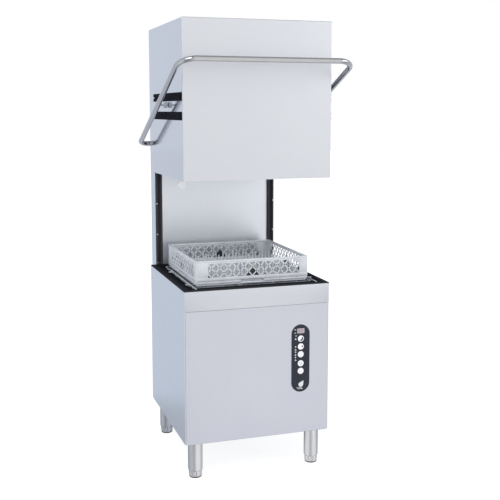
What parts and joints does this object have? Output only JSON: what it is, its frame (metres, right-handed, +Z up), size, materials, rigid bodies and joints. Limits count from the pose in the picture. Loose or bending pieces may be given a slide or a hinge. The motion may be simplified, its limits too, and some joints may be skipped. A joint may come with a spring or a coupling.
{
  "type": "hood-type commercial dishwasher",
  "caption": "Upright commercial dishwasher with a lift-up hood raised over a square rack, a bar handle on side arms, a control strip on the cabinet front and levelling legs.",
  "frame": {"origin": "on the floor, under the middle of the machine's bounding box", "axes": "+Z up, +Y towards the rear column, +X to the right as seen from the front"},
  "size_m": [0.741, 0.892, 1.898],
  "materials": {
    "stainless_satin": "satin",
    "stainless_polished": "polished",
    "galvanised_frame": "satin",
    "black_powder": "satin",
    "black_plastic": "matt",
    "slate_overlay": "satin",
    "display_glass": "gloss",
    "white_plastic": "gloss",
    "rack_plastic": "matt",
    "grey_plastic": "matt",
    "hose_rubber": "matt",
    "buffer_rubber": "matt",
    "brass_fitting": "satin",
    "motor_casting": "matt",
    "spring_steel": "satin",
    "nickel_element": "satin"
  },
  "bodies": {
    "cabinet": {"base_frame": "galvanised_frame", "bottom_pan": "galvanised_frame", "side_panels": "stainless_satin", "rear_panel": "stainless_satin", "service_panel": "stainless_satin", "control_fascia": "stainless_satin", "worktop_surround": "black_powder", "control_overlay": "slate_overlay", "display_window": "display_glass", "control_board": "grey_plastic", "leg_sleeves": "stainless_polished", "wash_tank": "stainless_satin", "filter_trays": "stainless_satin", "sump_strainer": "stainless_satin", "tank_heater": "nickel_element", "lower_manifold": "grey_plastic", "wash_riser": "stainless_polished", "wash_pump_volute": "grey_plastic", "wash_pump_motor": "motor_casting", "boiler_tank": "stainless_satin", "boiler_heater": "nickel_element", "rinse_pump": "motor_casting", "dosing_pumps": "grey_plastic", "inlet_valve": "white_plastic", "water_inlet": "brass_fitting", "drain_stub": "black_plastic", "cable_gland": "black_plastic", "electrical_box": "grey_plastic", "internal_hoses": "hose_rubber", "rack_guide_frame": "stainless_polished", "column_rails": "black_powder", "rail_stop_buffers": "buffer_rubber", "chamber_rear_wall": "stainless_satin", "chamber_vent_cap": "white_plastic", "column_cover": "stainless_satin", "shaft_bushes": "black_plastic", "balance_springs": "spring_steel", "panel_screws": "stainless_polished"},
    "hood": {"hood_shell": "stainless_satin", "hood_tracks": "black_plastic", "hood_slide_shoes": "black_plastic"},
    "handle": {"handle_tube": "stainless_polished", "handle_rollers": "white_plastic", "cross_shaft": "stainless_polished"},
    "rack": {"dish_rack": "rack_plastic"},
    "lower_wash_spinner": {"lower_wash_arm": "stainless_satin"},
    "lower_rinse_spinner": {"lower_rinse_arm": "stainless_satin"},
    "upper_wash_spinner": {"upper_wash_arm": "stainless_satin"},
    "upper_rinse_spinner": {"upper_rinse_arm": "stainless_satin"},
    "pump_impeller": {"pump_rotor": "motor_casting"},
    "overflow": {"overflow_pipe": "grey_plastic"},
    "button_power_cap": {"button_power": "white_plastic"},
    "button_short_cycle_cap": {"button_short_cycle": "white_plastic"},
    "button_medium_cycle_cap": {"button_medium_cycle": "white_plastic"},
    "button_long_cycle_cap": {"button_long_cycle": "white_plastic"},
    "button_drain_cap": {"button_drain": "white_plastic"},
    "foot_front_left_body": {"foot_front_left": "stainless_polished"},
    "foot_rear_left_body": {"foot_rear_left": "stainless_polished"},
    "foot_front_right_body": {"foot_front_right": "stainless_polished"},
    "foot_rear_right_body": {"foot_rear_right": "stainless_polished"}
  },
  "joints": [
    {"name": "hood_slide", "type": "slide", "parent": "cabinet", "child": "hood", "axis": [0, 0, 1], "range_m": [-0.444, 0]},
    {"name": "handle_pivot", "type": "hinge", "parent": "cabinet", "child": "handle", "pos_m": [0, 0.367, 1.383], "axis": [1, 0, 0], "range_deg": [0, 61.2], "deforming": ["balance_springs"]},
    {"name": "rack_slide", "type": "slide", "parent": "cabinet", "child": "rack", "axis": [0, 1, 0], "range_m": [-0.05, 0.05]},
    {"name": "lower_wash_spin", "type": "hinge", "parent": "cabinet", "child": "lower_wash_spinner", "pos_m": [0, 0.032, 0.758], "axis": [0, 0, 1], "continuous": true},
    {"name": "lower_rinse_spin", "type": "hinge", "parent": "cabinet", "child": "lower_rinse_spinner", "pos_m": [0, 0.032, 0.787], "axis": [0, 0, 1], "continuous": true},
    {"name": "upper_wash_spin", "type": "hinge", "parent": "cabinet", "child": "upper_wash_spinner", "pos_m": [0, 0.032, 1.2815], "axis": [0, 0, 1], "continuous": true},
    {"name": "upper_rinse_spin", "type": "hinge", "parent": "cabinet", "child": "upper_rinse_spinner", "pos_m": [0, 0.032, 1.256], "axis": [0, 0, 1], "continuous": true},
    {"name": "pump_spin", "type": "hinge", "parent": "cabinet", "child": "pump_impeller", "pos_m": [0, 0.032, 0.33], "axis": [1, 0, 0], "continuous": true},
    {"name": "overflow_lift", "type": "slide", "parent": "cabinet", "child": "overflow", "axis": [0, 0, 1], "range_m": [0, 0.05]},
    {"name": "button_power_press", "type": "slide", "parent": "cabinet", "child": "button_power_cap", "axis": [0, 1, 0], "range_m": [0, 0.0015], "stiffness_N_per_m": 400},
    {"name": "button_short_cycle_press", "type": "slide", "parent": "cabinet", "child": "button_short_cycle_cap", "axis": [0, 1, 0], "range_m": [0, 0.0015], "stiffness_N_per_m": 400},
    {"name": "button_medium_cycle_press", "type": "slide", "parent": "cabinet", "child": "button_medium_cycle_cap", "axis": [0, 1, 0], "range_m": [0, 0.0015], "stiffness_N_per_m": 400},
    {"name": "button_long_cycle_press", "type": "slide", "parent": "cabinet", "child": "button_long_cycle_cap", "axis": [0, 1, 0], "range_m": [0, 0.0015], "stiffness_N_per_m": 400},
    {"name": "button_drain_press", "type": "slide", "parent": "cabinet", "child": "button_drain_cap", "axis": [0, 1, 0], "range_m": [0, 0.0015], "stiffness_N_per_m": 400},
    {"name": "foot_front_left_screw", "type": "slide", "parent": "cabinet", "child": "foot_front_left_body", "axis": [0, 0, 1], "range_m": [-0.03, 0]},
    {"name": "foot_rear_left_screw", "type": "slide", "parent": "cabinet", "child": "foot_rear_left_body", "axis": [0, 0, 1], "range_m": [-0.03, 0]},
    {"name": "foot_front_right_screw", "type": "slide", "parent": "cabinet", "child": "foot_front_right_body", "axis": [0, 0, 1], "range_m": [-0.03, 0]},
    {"name": "foot_rear_right_screw", "type": "slide", "parent": "cabinet", "child": "foot_rear_right_body", "axis": [0, 0, 1], "range_m": [-0.03, 0]}
  ],
  "couplings": [
    {"joint": "handle_pivot", "follows": "hood_slide", "rad_per_m": -2.397}
  ]
}
